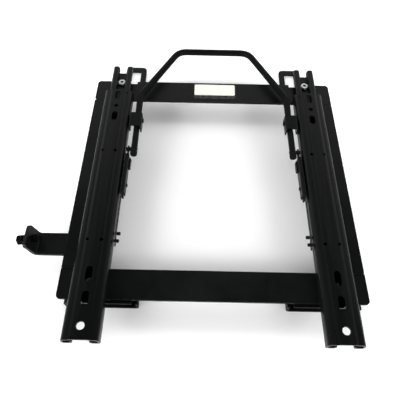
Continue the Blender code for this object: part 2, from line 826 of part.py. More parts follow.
def ball_cage(name, flank, parent):
    """Return one cage strip with its two rows of balls, in the race on one flank of a rail."""
    corner_u, corner_z = shoulder_centre()
    reach = shoulder_bend - sheet / 2 - ball_clearance - ball_radius
    high_ball = (corner_u + reach * math.cos(ball_contact_angle), corner_z + reach * math.sin(ball_contact_angle))
    low_ball = (lip_u + cage_clearance, low_ball_z)
    inner = lip_u + sheet / 2 + cage_clearance
    middle_y = (upper_front + lower_rear) / 2
    length = (balls_in_a_row - 1) * ball_pitch + 2 * cage_end
    foot = low_ball_z - cage_foot
    head = high_ball[1] + cage_clearance
    outline = rectangle(middle_y - length / 2, middle_y + length / 2, foot, head)
    mesh = filled_mesh(name, [outline], cage_thickness)
    x = flank * (inner + cage_thickness / 2)
    cage = add_part(name, mesh, CAGE_PLASTIC, parent, (x, 0, 0), ON_EDGE)
    bm = bmesh.new()
    for u, z in (high_ball, low_ball):
        for index in range(balls_in_a_row):
            y = middle_y + (index - (balls_in_a_row - 1) / 2) * ball_pitch
            ball = bmesh.ops.create_uvsphere(bm, u_segments=ball_segments, v_segments=ball_rings, radius=ball_radius)
            bmesh.ops.translate(bm, verts=ball["verts"], vec=(flank * u, y, z))
    balls = bpy.data.meshes.new(name + "_balls")
    bm.to_mesh(balls)
    bm.free()
    return combine(cage, add_cutter(name + "_balls", balls, parent), "UNION")


def shoulder_centre():
    """Return the centre of the round shoulder of the upper rail's section."""
    run = side_u - shoulder_inset - web_half_width
    slope = math.atan2(shoulder_drop, run)
    u = side_u - shoulder_inset + wall_flare * 0.3 - shoulder_bend
    z = web_z - (u - web_half_width) * math.tan(slope) - shoulder_bend / math.cos(slope)
    return u, z


# Handle

def towel_bar(name, parent):
    """Return the bent handle rod with its cross holes for the pivot and link pins."""
    leg = handle_leg_spacing / 2
    half_top = handle_top_width / 2
    bend_y = handle_pivot_y + handle_bend_ahead
    top_y = handle_pivot_y + handle_rise_ahead
    left_half = [(-leg, leg_end_y), (-leg, bend_y), (-half_top, top_y)]
    points = left_half + [(-x, y) for x, y in reversed(left_half)]
    radii = [0, handle_leg_bend, handle_top_bend, handle_top_bend, handle_leg_bend, 0]
    path = [Vector((x, y, handle_z)) for x, y in round_corners(points, radii)]
    curve = bpy.data.curves.new(name, "CURVE")
    curve.dimensions = "3D"
    curve.bevel_depth = handle_radius
    curve.bevel_resolution = handle_sides_setting
    curve.use_fill_caps = True
    spline = curve.splines.new("POLY")
    spline.points.add(len(path) - 1)
    for point, place in zip(spline.points, path):
        point.co = (*(place - handle_pivot()), 1.0)
    rod = add_part(name, mesh_from_curve(name, curve), BLACK_PAINT, parent)
    for word, side in SIDES:
        for hole, y in (("pivot", handle_pivot_y), ("link", link_pin_y)):
            mesh = cylinder_mesh(name, pin_radius + pin_clearance, 4 * handle_radius)
            place = Vector((side * leg, y, handle_z)) - handle_pivot()
            tag = "_".join((name, word, hole))
            combine(rod, add_cutter(tag, mesh, parent, place, across(side)))
    return rod


def handle_pivot():
    """Return the middle of the handle's pivot line."""
    return Vector((0, handle_pivot_y, handle_z))


def end_cap(name, side, parent):
    """Return the plug on the rear end of one handle leg."""
    radius = handle_radius + cap_wall
    edge = cap_edge
    profile = [(0, 0), (radius - edge, 0), (radius, edge), (radius, cap_length), (0, cap_length)]
    place = Vector((side * handle_leg_spacing / 2, leg_end_y - seat_gap - cap_length, handle_z)) - handle_pivot()
    return add_part(name, turned_mesh(name, profile), CAP_PLASTIC, parent, place, (math.radians(-90), 0, 0))


def link_pin(name, side, parent):
    """Return the stepped pin on a handle leg whose thick end lies in the lock lever's fork."""
    tip = saddle_u + seat_gap
    step = leg_u - handle_radius - pin_seat
    tail = leg_u + handle_radius + seat_gap
    profile = [(0, tip), (link_pin_radius, tip), (link_pin_radius, step), (pin_radius, step), (pin_radius, tail),
               (0, tail)]
    place = Vector((side * half_spacing, link_pin_y, handle_z)) - handle_pivot()
    return add_part(name, turned_mesh(name, profile), DARK_STEEL, parent, place, across(side))


# Saddles, lock levers and springs, with u towards the frame's middle

def saddle(name, side, parent):
    """Return the folded saddle that carries the handle's pivot pin on the inner wall."""
    inward = -side
    half = saddle_sheet / 2
    top_z = handle_z + handle_radius + saddle_head_room + half
    low_z = top_z + half - saddle_skirt
    near = saddle_u + half
    far = saddle_u + saddle_width - half
    profile = [(inward * near, low_z), (inward * near, top_z), (inward * far, top_z), (inward * far, low_z)]
    rear = handle_pivot_y - saddle_behind - saddle_tail
    front = handle_pivot_y + saddle_ahead
    bracket = bent_sheet(name, round_corners(profile, saddle_sheet), rear, front, saddle_sheet, BLACK_PAINT, parent)
    low_u = inward * (saddle_u - trim)
    high_u = inward * (far - half - sliver)
    cut = rectangle(min(low_u, high_u), max(low_u, high_u), rear - trim, rear + saddle_tail)
    combine(bracket, level_cutter(name + "_tail", [cut], low_z - trim, top_z + saddle_sheet, parent))
    hole = cylinder_mesh(name + "_hole", pin_radius + pin_clearance, 2 * saddle_width)
    place = (inward * (saddle_u + saddle_width / 2), handle_pivot_y, handle_z)
    return combine(bracket, add_cutter(name + "_hole", hole, parent, place, across(side)))


def pivot_pin(name, side, parent):
    """Return the pin through the saddle and the handle leg."""
    tip = saddle_u
    face = saddle_u + saddle_width + seat_gap
    head = face + pin_head_height
    profile = [(0, tip), (pin_radius, tip), (pin_radius, face), (pin_head_radius, face), (pin_head_radius, head),
               (0, head)]
    return add_part(name, turned_mesh(name, profile), DARK_STEEL, parent, (0, handle_pivot_y, handle_z), across(side))


def lock_housing(name, side, parent):
    """Return the folded cover over the lock lever, with a notch for the lever's finger."""
    inward = -side
    half = housing_sheet / 2
    near = saddle_u + half
    far = saddle_u + housing_width - half
    top_z = housing_top_z - half
    low_z = wire_z + wire_radius + wire_rise + seat_gap
    profile = [(inward * near, low_z), (inward * near, top_z), (inward * far, top_z),
               (inward * far, housing_top_z - housing_height)]
    cover = bent_sheet(name, round_corners(profile, housing_sheet), housing_rear_y, housing_front_y, housing_sheet,
                       BLACK_PAINT, parent)
    outer = saddle_u + housing_width + trim
    tip = housing_rear_y - trim
    leg = housing_chamfer + 2 * trim
    corner = inward * outer
    chamfer = [Vector((corner, tip)), Vector((corner - inward * leg, tip)), Vector((corner, tip + leg))]
    combine(cover, level_cutter(name + "_chamfer", [chamfer], bar_top, housing_top_z + trim, parent))
    rear, front = finger_span()
    notch = rectangle(rear - housing_notch_play, front + housing_notch_play, bar_top, lever_top_z + seat_gap)
    low_u = inward * (far - housing_sheet)
    high_u = inward * (far + housing_sheet)
    combine(cover, upright_cutter(name + "_notch", [notch], low_u, high_u, parent))
    hole = cylinder_mesh(name + "_hole", lever_pivot_radius + pin_clearance, 4 * housing_sheet)
    place = (inward * far, lever_pivot_y, lever_pivot_z)
    return combine(cover, add_cutter(name + "_hole", hole, parent, place, across(side)))


def finger_span():
    """Return where the lever's finger starts and ends along y."""
    front = handle_pivot_y - finger_behind + finger_length / 2
    return front - finger_length, front


def lever_outline():
    """Return the lock lever's outline in the y-z plane, with its open fork, about its pivot."""
    head_front = link_pin_y + lever_head
    head_rear = link_pin_y - lever_head
    head_low = bar_top + lever_head_bottom
    head_top = handle_z - link_pin_radius + lever_fork_height
    half_fork = link_pin_radius + fork_clearance
    fork_z = handle_z - link_pin_radius - pin_seat
    tail = lever_pivot_y - lever_tail
    neck = head_rear - lever_head
    corners = [(tail, lever_z), (neck, lever_z), (head_rear, head_low), (head_front, head_low),
               (head_front, head_top), (link_pin_y + half_fork, head_top), (link_pin_y + half_fork, fork_z),
               (link_pin_y - half_fork, fork_z), (link_pin_y - half_fork, head_top), (head_rear, head_top),
               (neck, lever_top_z), (tail, lever_top_z)]
    edge = lever_corner
    radii = [edge, 0, 0, edge, edge, 0, edge, edge, 0, edge, 0, edge]
    outline = round_corners(corners, radii, closed=True)
    return [point - Vector((lever_pivot_y, lever_pivot_z)) for point in outline]


def lock_lever(name, side, parent):
    """Return the stamped lock lever with its teeth, its finger and its open fork."""
    inward = -side
    bore = circle(0, 0, lever_pivot_radius + pin_clearance)
    mesh = filled_mesh(name, [lever_outline(), bore], lever_thickness)
    lever = add_part(name, mesh, DARK_STEEL, parent, (inward * lever_u, 0, 0), ON_EDGE)
    pivot = Vector((lever_pivot_y, lever_pivot_z))
    teeth = [[Vector(point) - pivot for point in rectangle(y - tooth_width / 2, y + tooth_width / 2, tooth_z(),
                                                           tooth_z() + tooth_height)] for y in tooth_places()]
    tip_u = side_u + wall_flare - sheet / 2 + tooth_bite
    combine(lever, upright_cutter(name + "_teeth", teeth, inward * tip_u, inward * lever_u, parent), "UNION")
    rear, front = finger_span()
    shelf_z = lever_z + sliver
    shelf = [Vector(point) - pivot for point in rectangle(rear, front, shelf_z, shelf_z + finger_sheet)]
    lip = [Vector(point) - pivot for point in rectangle(rear, front, shelf_z + sliver / 10, shelf_z + finger_height)]
    outer = lever_u + lever_thickness / 2 + finger_reach
    combine(lever, upright_cutter(name + "_shelf", [shelf], inward * lever_u, inward * (outer - sliver / 10), parent),
            "UNION")
    combine(lever, upright_cutter(name + "_lip", [lip], inward * (outer - finger_sheet), inward * outer, parent),
            "UNION")
    return lever


def lever_rivet(name, side, parent):
    """Return the rivet that the lock lever turns on."""
    tip = saddle_u
    far = saddle_u + housing_width + seat_gap
    head = far + rivet_button
    radius = lever_pivot_radius
    profile = [(0, tip), (radius, tip), (radius, far), (radius + rivet_button, far), (radius + rivet_button / 2, head),
               (0, head)]
    place = (0, lever_pivot_y, lever_pivot_z)
    return add_part(name, turned_mesh(name, profile), DARK_STEEL, parent, place, across(side))


def return_spring(name, side, parent):
    """Return the spring wire: over the first peg, under the second, its nose on the lever's tail."""
    x = -side * wire_u
    nose = first_peg_y + wire_reach
    under = second_peg_z - peg_radius - seat_gap - wire_radius - wire_slack
    kink = first_peg_y - wire_kink_behind
    end = second_peg_y - wire_end
    route = [(nose, wire_z), (kink, wire_z), (second_peg_y + wire_kink_ahead, under), (end, under)]
    path = round_corners(route, [0, wire_kink_bend, wire_kink_bend, 0])
    curve = bpy.data.curves.new(name, "CURVE")
    curve.dimensions = "3D"
    curve.bevel_depth = wire_radius
    curve.bevel_resolution = 2
    curve.use_fill_caps = True
    spline = curve.splines.new("POLY")
    spline.points.add(len(path) - 1)
    for point, (y, z) in zip(spline.points, path):
        point.co = (x, y - first_peg_y, z - first_peg_z, 1.0)
    return add_part(name, mesh_from_curve(name, curve), SPRING_STEEL, parent)


def spring_peg(name, side, y, z, parent):
    """Return one headed peg on the inner wall."""
    low = saddle_u
    high = low + peg_length
    profile = [(0, low), (peg_radius, low), (peg_radius, high - peg_edge), (peg_radius - peg_edge, high), (0, high)]
    return add_part(name, turned_mesh(name, profile), DARK_STEEL, parent, (0, y, z), across(side))


def build_side(word, side, root, handle_axis):
    """Build one rail pair with its cages, lock and spring."""
    centre = new_empty(word + "_rail_line", (side * half_spacing, 0, 0), root)
    lower_rail(word + "_lower_rail", side, centre)
    for place, y in rivet_places():
        name = "_".join((word, place, "rail_rivet"))
        rail_rivet(name, side * half_spacing, y, foot_height - seat_gap - foot_sheet, root)
    upper_rail(word + "_upper_rail", side, centre)
    ball_cage(word + "_inner_ball_cage", -side, centre)
    ball_cage(word + "_outer_ball_cage", side, centre)
    saddle(word + "_handle_saddle", side, centre)
    pivot_pin(word + "_handle_pin", side, centre)
    link_pin(word + "_link_pin", side, handle_axis)
    end_cap(word + "_handle_cap", side, handle_axis)
    lock_housing(word + "_lock_housing", side, centre)
    lever_axis = new_empty(word + "_lever_axis", (0, lever_pivot_y, lever_pivot_z), centre)
    lock_lever(word + "_lock_lever", side, lever_axis)
    lever_rivet(word + "_lever_rivet", side, centre)
    spring_axis = new_empty(word + "_spring_axis", (0, first_peg_y, first_peg_z), centre)
    return_spring(word + "_lock_spring", side, spring_axis)
    spring_peg(word + "_front_spring_peg", side, first_peg_y, first_peg_z, centre)
    spring_peg(word + "_rear_spring_peg", side, second_peg_y, second_peg_z, centre)


def centre_on_origin(root):
    """Move the whole object so that the origin is the middle of its footprint, at floor level."""
    bpy.context.view_layer.update()
    graph = bpy.context.evaluated_depsgraph_get()
    low = Vector((math.inf, math.inf, math.inf))
    high = -low
    for obj in parts.objects:
        if obj.type != "MESH":
            continue
        shape = obj.evaluated_get(graph)
        for vertex in shape.data.vertices:
            place = shape.matrix_world @ vertex.co
            low = Vector(map(min, low, place))
            high = Vector(map(max, high, place))
    root.location = (-(low.x + high.x) / 2, -(low.y + high.y) / 2, -low.z)


assembly = new_empty("seat_slide", (0, 0, 0))
build_frame(assembly)
lift_axis = new_empty("handle_axis", handle_pivot(), assembly)
towel_bar("handle_bar", lift_axis)
for side_word, side_sign in SIDES:
    build_side(side_word, side_sign, assembly, lift_axis)
centre_on_origin(assembly)
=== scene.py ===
import json
import math

import bmesh
import bpy
from mathutils import Matrix, Vector

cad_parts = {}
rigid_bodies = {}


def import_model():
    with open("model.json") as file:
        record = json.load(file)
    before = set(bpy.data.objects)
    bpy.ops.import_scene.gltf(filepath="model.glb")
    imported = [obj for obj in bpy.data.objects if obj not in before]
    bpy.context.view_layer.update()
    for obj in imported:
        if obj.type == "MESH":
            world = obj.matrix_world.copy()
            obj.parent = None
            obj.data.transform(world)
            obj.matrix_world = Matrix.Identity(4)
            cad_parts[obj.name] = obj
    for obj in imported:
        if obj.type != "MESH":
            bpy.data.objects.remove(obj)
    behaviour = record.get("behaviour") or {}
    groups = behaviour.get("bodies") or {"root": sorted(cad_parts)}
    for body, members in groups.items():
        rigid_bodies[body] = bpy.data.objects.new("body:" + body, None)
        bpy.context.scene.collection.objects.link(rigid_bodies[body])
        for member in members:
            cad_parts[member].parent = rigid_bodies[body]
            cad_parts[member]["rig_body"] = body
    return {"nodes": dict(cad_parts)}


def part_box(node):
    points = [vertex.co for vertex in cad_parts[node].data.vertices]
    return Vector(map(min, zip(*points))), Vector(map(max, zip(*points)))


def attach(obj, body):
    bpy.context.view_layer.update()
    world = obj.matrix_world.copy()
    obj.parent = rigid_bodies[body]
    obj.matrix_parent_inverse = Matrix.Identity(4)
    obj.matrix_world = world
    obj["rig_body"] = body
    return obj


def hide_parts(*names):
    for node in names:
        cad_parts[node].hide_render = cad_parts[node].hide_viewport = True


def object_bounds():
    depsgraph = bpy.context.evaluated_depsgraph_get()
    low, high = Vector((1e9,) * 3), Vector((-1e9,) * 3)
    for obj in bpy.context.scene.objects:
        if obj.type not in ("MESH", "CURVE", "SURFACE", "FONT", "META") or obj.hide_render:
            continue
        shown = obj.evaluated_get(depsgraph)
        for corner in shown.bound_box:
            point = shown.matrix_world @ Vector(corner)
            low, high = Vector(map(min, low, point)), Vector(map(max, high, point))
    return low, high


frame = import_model()
cad_low, cad_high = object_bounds()
mm = 0.001
nodes = frame["nodes"]


# The floor and the light.
# A white floor in a pale room with a window ahead. A wide panel ahead and one behind each rail light
# the frame softly, small strips draw the lines on the rails, and the floor glows for the camera only:
# a painted light, dim between the rails where it keeps the frame's shade, bright beyond the bars and
# far off, where it washes out the frame's shadows.
class Reading:
    """A node socket that can be used in plain sums, so that a finish reads as formulas."""

    def __init__(self, tree, socket=None):
        self.tree = tree
        self.socket = socket

    def node(self, kind, inputs, out=0, **settings):
        """Add a node, set its properties, fill its inputs (a list joins several), return one output."""
        added = self.tree.nodes.new(kind)
        for word, value in settings.items():
            setattr(added, word, value)
        for place, value in inputs.items():
            socket = added.inputs[place]
            for item in value if isinstance(value, list) else [value]:
                if isinstance(item, Reading):
                    self.tree.links.new(item.socket, socket)
                else:
                    socket.default_value = item
        return Reading(self.tree, added.outputs[out])

    def sum_of(self, operation, first, second=0.0):
        return self.node("ShaderNodeMath", {0: first, 1: second}, operation=operation)

    def __add__(self, other):
        return self.sum_of("ADD", self, other)

    def __radd__(self, other):
        return self.sum_of("ADD", other, self)

    def __sub__(self, other):
        return self.sum_of("SUBTRACT", self, other)

    def __rsub__(self, other):
        return self.sum_of("SUBTRACT", other, self)

    def __mul__(self, other):
        return self.sum_of("MULTIPLY", self, other)

    def __rmul__(self, other):
        return self.sum_of("MULTIPLY", other, self)

    def __truediv__(self, other):
        return self.sum_of("DIVIDE", self, other)

    def __pow__(self, other):
        return self.sum_of("POWER", self, other)

    def __abs__(self):
        return self.node("ShaderNodeMath", {0: self}, operation="ABSOLUTE")


def wash(name, location, target, width, depth, power):
    """A soft rectangular lamp that looks at a point."""
    lamp = bpy.data.lights.new(name, "AREA")
    lamp.shape = "RECTANGLE"
    lamp.size = width
    lamp.size_y = depth
    lamp.energy = power
    holder = bpy.data.objects.new(name, lamp)
    holder.location = location
    aim = Vector(target) - Vector(location)
    holder.rotation_euler = aim.to_track_quat("-Z", "Y").to_euler()
    bpy.context.scene.collection.objects.link(holder)
    return holder


floor_reach = 30.0
floor_mesh = bpy.data.meshes.new("studio_floor")
floor_outline = bmesh.new()
bmesh.ops.create_grid(floor_outline, x_segments=1, y_segments=1, size=floor_reach)
floor_outline.to_mesh(floor_mesh)
floor_outline.free()
studio_floor = bpy.data.objects.new("studio_floor", floor_mesh)
studio_floor.location.z = cad_low.z - 0.2 * mm
bpy.context.scene.collection.objects.link(studio_floor)
floor_paint = bpy.data.materials.new("floor_paint")
floor_paint.use_nodes = True
floor_shader = floor_paint.node_tree.nodes["Principled BSDF"]
floor_shader.inputs["Base Color"].default_value = (0.93, 0.93, 0.93, 1)
floor_shader.inputs["Roughness"].default_value = 0.9
floor_shader.inputs["Specular IOR Level"].default_value = 0.1
floor_mesh.materials.append(floor_paint)
middle = (cad_low + cad_high) / 2

sky = bpy.data.worlds.new("studio_room")
sky.use_nodes = True
room = sky.node_tree.nodes["Background"]
room.inputs["Color"].default_value = (1, 1, 1, 1)
ceiling_light = 0.004
window_light = 0.37
wall_light = 0.3
looking = Reading(sky.node_tree).node("ShaderNodeTexCoord", {}, out="Generated")
ahead = looking.node("ShaderNodeSeparateXYZ", {0: looking}, out="Y")
height = looking.node("ShaderNodeSeparateXYZ", {0: looking}, out="Z")


def ramp(value, low, high, start=0.0, end=1.0):
    """Return start where the value is low and end where it is high, with a soft step between."""
    given = {"Value": value, "From Min": low, "From Max": high, "To Min": start, "To Max": end}
    return value.node("ShaderNodeMapRange", given, interpolation_type="SMOOTHSTEP")


bar_low, bar_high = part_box("front_cross_bar")
darkest_y = middle.y - 50 * mm
rail_reach = (0.15, 0.34)
room_reach = (0.5, 2.0)
fringe = (-12 * mm, 12 * mm)
inner_glow = 0.06
rail_glow = 0.28
side_glow = 0.35
front_glow = 0.2
# Painted light: the camera sees the floor glow least around the darkest point between the rails, where the
# frame's shade stays, and more beyond the bars and far off, where the glow washes the shadows out.
camera_ray = Reading(floor_paint.node_tree).node("ShaderNodeLightPath", {}, out="Is Camera Ray")
spot = camera_ray.node("ShaderNodeTexCoord", {}, out="Object")
spot_x = spot.node("ShaderNodeSeparateXYZ", {0: spot}, out="X")
spot_y = spot.node("ShaderNodeSeparateXYZ", {0: spot}, out="Y")
away_x = spot_x - middle.x
away_y = spot_y - darkest_y
away = (away_x * away_x + away_y * away_y) ** 0.5
aside = abs(spot_x - (bar_low.x + bar_high.x) / 2) - (bar_high.x - bar_low.x) / 2
beyond = spot_y - bar_high.y
between = ramp(away, *rail_reach, inner_glow, rail_glow)
outside = ramp(aside, *fringe, 0.0, side_glow) + ramp(beyond, *fringe, 0.0, front_glow)
backdrop = ramp(away, *room_reach, 0.0, 1.0 - rail_glow)
painted_floor_glow = camera_ray * (between + outside + backdrop)
floor_shader.inputs["Emission Strength"].default_value = 1.0
camera_ray.tree.links.new(painted_floor_glow.socket, floor_shader.inputs["Emission Color"])

window_side = (0.15, 0.6)
window_sill = (0.1, 0.35)
window_head = (0.7, 0.96)
lower_panes = (0.5, 0.78)
lower_gain = 1.9
wall_fade = (0.1, 0.5)
panes = ramp(height, *window_sill) * ramp(height, *lower_panes, lower_gain, 1.0)
sash = panes * ramp(height, *window_head, 1.0, 0.0)
window = ramp(ahead, *window_side) * sash
walls = ramp(height, *wall_fade, wall_light, ceiling_light)
room_light = walls + window * (window_light - ceiling_light)
straight = looking.node("ShaderNodeLightPath", {}, out="Is Camera Ray")
shown = room_light * (1.0 - straight) + straight
sky.node_tree.links.new(shown.socket, room.inputs["Strength"])
bpy.context.scene.world = sky

key_place = middle + Vector((0, 1.9, 1.2))
key_panel = wash("key_panel", key_place, middle, width=3.4, depth=0.9, power=42)
key_panel.visible_glossy = False
for word, hand, power in (("left", -1, 58), ("right", 1, 42)):
    panel_place = middle + Vector((hand * 1.6, -1.2, 0.75))
    panel = wash(f"{word}_panel", panel_place, middle, width=1.6, depth=1.0, power=power)
    panel.visible_glossy = False
    strip = wash(f"{word}_strip", panel_place, middle, width=0.45, depth=0.3, power=22)
    strip.visible_diffuse = False

bpy.context.scene.view_settings.view_transform = "Standard"


# The camera.
# It stands behind the seat frame and looks down along the rails, as in the photograph.
bar_middle = (bar_low + bar_high) / 2
camera_offset = Vector((-18.556, -492.054, 502.593)) * mm
camera_place = Vector((bar_middle.x, bar_middle.y, 0)) + camera_offset
camera_pitch = math.radians(58.719)
camera_yaw = math.radians(-0.224)
camera_roll = math.radians(1.393)
camera_lens = bpy.data.cameras.new("photo_camera")
camera_lens.sensor_width = 36
camera_lens.lens = 37.8
camera_lens.clip_start = 0.01
camera = bpy.data.objects.new("photo_camera", camera_lens)
turn = Matrix.Rotation(camera_yaw, 4, "Z") @ Matrix.Rotation(math.pi / 2 - camera_pitch, 4, "X")
camera.matrix_world = Matrix.Translation(camera_place) @ turn @ Matrix.Rotation(camera_roll, 4, "Z")
bpy.context.scene.collection.objects.link(camera)
bpy.context.scene.camera = camera


# The floor frame.
# Two cross bars, two side plates, two stepped front feet and two folded rear feet, all
# blanked and bent from steel sheet, welded together and then painted satin black.
def begin_finish(name):
    """Return a new material, its shader and a reading of the place on the object."""
    finish = bpy.data.materials.new(name)
    finish.use_nodes = True
    tree = finish.node_tree
    place = Reading(tree).node("ShaderNodeTexCoord", {}, out="Object")
    return finish, tree.nodes["Principled BSDF"], place


def grain(place, size, detail=2.0, stretch=(1, 1, 1)):
    """Return noise with lumps of about this size, drawn out by the stretch, from 0 to 1."""
    density = tuple(1 / (size * share) for share in stretch)
    scaled = place.node("ShaderNodeMapping", {"Vector": place, "Scale": density})
    return place.node("ShaderNodeTexNoise", {"Vector": scaled, "Scale": 1.0, "Detail": detail}, out="Fac")


def tint(amount, start, end):
    """Return the colour between two colours, each numbers or a reading, by the amount."""
    first, last = (colour if isinstance(colour, Reading) else (*colour, 1) for colour in (start, end))
    return amount.node("ShaderNodeMix", {"Factor": amount, 6: first, 7: last}, out=2, data_type="RGBA")


def emboss(shader, height, depth, strength):
    """Lead a height, scaled to a real depth, into the shader's normal."""
    given = {"Height": height, "Distance": depth, "Strength": strength}
    bumped = height.node("ShaderNodeBump", given, out="Normal")
    height.tree.links.new(bumped.socket, shader.inputs["Normal"])


def lead(shader, **values):
    """Set or link the shader's inputs; an underscore in a word stands for a space."""
    for word, value in values.items():
        socket = shader.inputs[word.replace("_", " ")]
        if isinstance(value, Reading):
            value.tree.links.new(value.socket, socket)
        else:
            socket.default_value = value


paint_black = (0.0044, 0.0047, 0.0049)
paint_dusty = (0.0070, 0.0073, 0.0075)
paint_worn_and_lit = (0.040, 0.040, 0.040)


def black_paint(name, drawn=(1, 1, 1), sheen=0.30, shine=0.25):
    """Satin black paint with a fine orange peel, cloudy gloss, light dust and lighter edges: partly worn
    paint, partly a painted highlight.
    """
    finish, shader, place = begin_finish(name)
    cloud = grain(place, 55 * mm, 3, drawn)
    blotch = grain(place, 9 * mm, 3, drawn)
    peel = grain(place, 0.75 * mm, 2)
    scuff = grain(place, 2.2 * mm, 4)
    edge = place.node("ShaderNodeAttribute", {}, out="Fac", attribute_name="edge_wear_and_highlight")
    facing = place.node("ShaderNodeNewGeometry", {}, out="Normal")
    upward = place.node("ShaderNodeSeparateXYZ", {0: facing}, out="Z")
    dust = ramp(upward, 0.2, 0.95) * ramp(cloud * 0.6 + blotch * 0.4, 0.42, 0.68)
    # The rounded edges are painted lighter in patches: partly wear, partly a painted highlight along them.
    wear_and_highlight = edge * ramp(scuff, 0.46, 0.62)
    dusty = tint(dust * 0.5, paint_black, paint_dusty)
    colour = tint(wear_and_highlight * 0.55, dusty, paint_worn_and_lit)
    gloss = ramp(cloud, 0.3, 0.7, sheen - 0.05, sheen + 0.07) + dust * 0.06 - wear_and_highlight * 0.08
    lead(shader, Base_Color=colour, Roughness=gloss, Specular_IOR_Level=shine)
    emboss(shader, peel * 0.7 + blotch * 0.3, 0.035 * mm, 0.55)
    return finish


def settle(name, mesh):
    """Return an object for the mesh, linked into the scene."""
    piece = bpy.data.objects.new(name, mesh)
    bpy.context.scene.collection.objects.link(piece)
    return piece


def bake(piece):
    """Apply the piece's modifiers and leave it with the plain mesh that they make."""
    bpy.context.view_layer.update()
    graph = bpy.context.evaluated_depsgraph_get()
    shaped = bpy.data.meshes.new_from_object(piece.evaluated_get(graph), preserve_all_data_layers=True,
                                             depsgraph=graph)
    piece.modifiers.clear()
    piece.data = shaped


merge_reach = 0.002 * mm
flat_angle = math.radians(0.4)


def joined_copy(node):
    """Return a bmesh copy of a CAD node with its loose triangles joined and flat areas merged."""
    shape = bmesh.new()
    shape.from_mesh(nodes[node].data)
    bmesh.ops.remove_doubles(shape, verts=shape.verts, dist=merge_reach)
    bmesh.ops.dissolve_limit(shape, angle_limit=flat_angle, verts=shape.verts, edges=shape.edges)
    return shape


def soften(piece, width, segments=2, sharp=32):
    """Round the sharp edges, mark the new faces for worn paint and a painted edge highlight, and keep flat
    faces flat.
    """
    rounding = piece.modifiers.new("rounding", "BEVEL")
    rounding.width = width
    rounding.segments = segments
    rounding.limit_method = "ANGLE"
    rounding.angle_limit = math.radians(sharp)
    rounding.material = 1
    evening = piece.modifiers.new("evening", "WEIGHTED_NORMAL")
    evening.weight = 100
    evening.keep_sharp = False
    for face in piece.data.polygons:
        face.use_smooth = True
    while len(piece.data.materials) < 2:
        piece.data.materials.append(None)
    bake(piece)
    mesh = piece.data
    mark = mesh.attributes.new("edge_wear_and_highlight", "FLOAT", "CORNER")
    for face in mesh.polygons:
        for corner in face.loop_indices:
            mark.data[corner].value = float(face.material_index == 1)
        face.material_index = 0
    mesh.materials.pop(index=1)
    return piece


def stand_in(shape, node, name, finish, slot, width, segments=2, sharp=32):
    """Make a shape a softened piece that stands in for a CAD node, on the node's body. The slot is not used.
    """
    mesh = bpy.data.meshes.new(name)
    shape.to_mesh(mesh)
    shape.free()
    mesh.materials.append(finish)
    piece = soften(settle(name, mesh), width, segments, sharp)
    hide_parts(node)
    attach(piece, nodes[node]["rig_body"])
    return piece


def finished_copy(node, *looks):
    """Stand a softened copy in for a CAD node."""
    return stand_in(joined_copy(node), node, *looks)


sheet_edge = 0.45 * mm
frame_paint = black_paint("frame_paint")
foot_paint = black_paint("foot_paint", sheen=0.4, shine=0.07)
sides = ("left", "right")
corner_reach = 7 * mm


def squared_copy(node, *corners):
    """Return a joined copy of a bar with the round stretch at these corners drawn out square."""
    shape = joined_copy(node)
    for corner in corners:
        for vertex in shape.verts:
            if (vertex.co.xy - corner).length < corner_reach:
                vertex.co.xy = corner
    bmesh.ops.remove_doubles(shape, verts=shape.verts, dist=merge_reach)
    return shape


front_shape = squared_copy("front_cross_bar", Vector((bar_high.x, bar_low.y)))
stand_in(front_shape, "front_cross_bar", "front_bar_painted", frame_paint, "black_paint", sheet_edge)
rear_low, rear_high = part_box("rear_cross_bar")
rear_shape = squared_copy("rear_cross_bar", Vector((rear_low.x, rear_high.y)), rear_high.xy)
stand_in(rear_shape, "rear_cross_bar", "rear_bar_painted", frame_paint, "black_paint", sheet_edge)
for side in sides:
    finished_copy(f"{side}_side_plate", f"{side}_plate_painted", frame_paint, "black_paint", sheet_edge)
    finished_copy(f"{side}_front_foot", f"{side}_front_foot_painted", frame_paint, "black_paint", sheet_edge)
    finished_copy(f"{side}_rear_foot", f"{side}_rear_foot_painted", foot_paint, "black_paint", sheet_edge)


def shape_tree(name, sizes):
    """Return a new geometry tree and a reading of each of its named inputs."""
    tree = bpy.data.node_groups.new(name, "GeometryNodeTree")
    tree.interface.new_socket("Geometry", in_out="INPUT", socket_type="NodeSocketGeometry")
    tree.interface.new_socket("Geometry", in_out="OUTPUT", socket_type="NodeSocketGeometry")
    for word in sizes:
        tree.interface.new_socket(word, in_out="INPUT", socket_type="NodeSocketFloat")
    given = tree.nodes.new("NodeGroupInput")
    return tree, {socket.name: Reading(tree, socket) for socket in given.outputs if socket.name}


def close_tree(geometry, finish):
    """End a geometry tree: real meshes in place of instances, with their material."""
    whole = geometry.node("GeometryNodeRealizeInstances", {0: geometry})
    dressed = whole.node("GeometryNodeSetMaterial", {0: whole, "Material": finish})
    end = dressed.tree.nodes.new("NodeGroupOutput")
    dressed.tree.links.new(dressed.socket, end.inputs[0])


def grow(name, mesh, tree, sizes):
    """Run a geometry tree with these sizes on a mesh of points or lines, and keep the result."""
    piece = settle(name, mesh)
    making = piece.modifiers.new("making", "NODES")
    making.node_group = tree
    for entry in tree.interface.items_tree:
        if entry.in_out == "INPUT" and entry.name in sizes:
            making[entry.identifier] = sizes[entry.name]
    bake(piece)
    finish = [material for material in piece.data.materials if material][0]
    piece.data.materials.clear()
    piece.data.materials.append(finish)
    for face in piece.data.polygons:
        face.material_index = 0
    return piece


def line_mesh(name, lines):
    """Return a mesh of loose edges from pairs of points."""
    mesh = bpy.data.meshes.new(name)
    mesh.from_pydata([point for line in lines for point in line],
                     [(2 * place, 2 * place + 1) for place in range(len(lines))], [])
    return mesh


bead_sizes = {"Width": 3.4 * mm, "Height": 1.9 * mm, "Ripple": 1.5 * mm, "Ripple Height": 0.16,
              "Wander": 0.35 * mm}
bead_sides = 14
ripple_steps = 6
end_share = 0.04
end_height = 0.25
lump_height = 0.3
lump_density = 260.0
wander_density = 170.0


